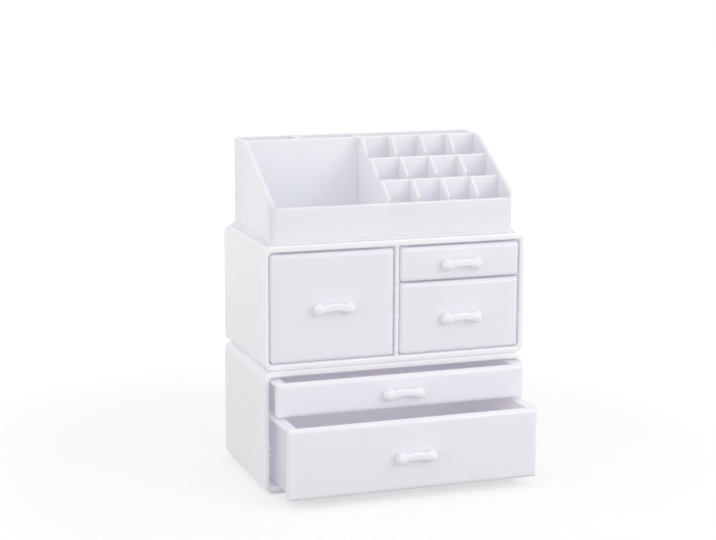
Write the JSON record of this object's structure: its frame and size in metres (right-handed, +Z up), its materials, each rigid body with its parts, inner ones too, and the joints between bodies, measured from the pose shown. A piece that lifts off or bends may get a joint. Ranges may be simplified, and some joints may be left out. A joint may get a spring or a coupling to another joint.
{
  "type": "cosmetics organizer",
  "caption": "White stacking vanity organizer: two drawer cases with sliding drawers and bow pulls, topped by a lift-off tray of stepped lipstick slots, a jar bay and brush bays.",
  "frame": {"origin": "centre of the footprint with the base drawers as far open as at rest, on the surface that the feet stand on", "axes": "+X to the right seen from the front, +Y from the drawers to the back, +Z up"},
  "size_m": [0.24, 0.185, 0.2962],
  "materials": {
    "case_plastic": "moulded gloss",
    "drawer_plastic": "moulded gloss",
    "tray_plastic": "moulded gloss",
    "handle_plastic": "moulded gloss",
    "feet": "soft matte",
    "screws": "zinc plated"
  },
  "bodies": {
    "base": {"base_case": "case_plastic", "base_feet": "feet"},
    "middle": {"middle_case": "case_plastic"},
    "tray": {"top_tray": "tray_plastic"},
    "base_shallow": {"base_shallow_drawer": "drawer_plastic", "base_shallow_handle": "handle_plastic", "base_shallow_screws": "screws"},
    "base_deep": {"base_deep_drawer": "drawer_plastic", "base_deep_handle": "handle_plastic", "base_deep_screws": "screws"},
    "middle_left": {"middle_left_drawer": "drawer_plastic", "middle_left_handle": "handle_plastic", "middle_left_screws": "screws"},
    "middle_right_shallow": {"middle_right_shallow_drawer": "drawer_plastic", "middle_right_shallow_handle": "handle_plastic", "middle_right_shallow_screws": "screws"},
    "middle_right_deep": {"middle_right_deep_drawer": "drawer_plastic", "middle_right_deep_handle": "handle_plastic", "middle_right_deep_screws": "screws"}
  },
  "joints": [
    {"name": "middle_lift", "type": "slide", "parent": "base", "child": "middle", "axis": [0, 0, 1], "range_m": [0, 0.03]},
    {"name": "tray_lift", "type": "slide", "parent": "middle", "child": "tray", "axis": [0, 0, 1], "range_m": [0, 0.03]},
    {"name": "base_shallow_slide", "type": "slide", "parent": "base", "child": "base_shallow", "axis": [0, -1, 0], "range_m": [-0.0157, 0.0793]},
    {"name": "base_deep_slide", "type": "slide", "parent": "base", "child": "base_deep", "axis": [0, -1, 0], "range_m": [-0.047, 0.048]},
    {"name": "middle_left_slide", "type": "slide", "parent": "middle", "child": "middle_left", "axis": [0, -1, 0], "range_m": [0, 0.095]},
    {"name": "middle_right_shallow_slide", "type": "slide", "parent": "middle", "child": "middle_right_shallow", "axis": [0, -1, 0], "range_m": [0, 0.095]},
    {"name": "middle_right_deep_slide", "type": "slide", "parent": "middle", "child": "middle_right_deep", "axis": [0, -1, 0], "range_m": [0, 0.095]}
  ]
}
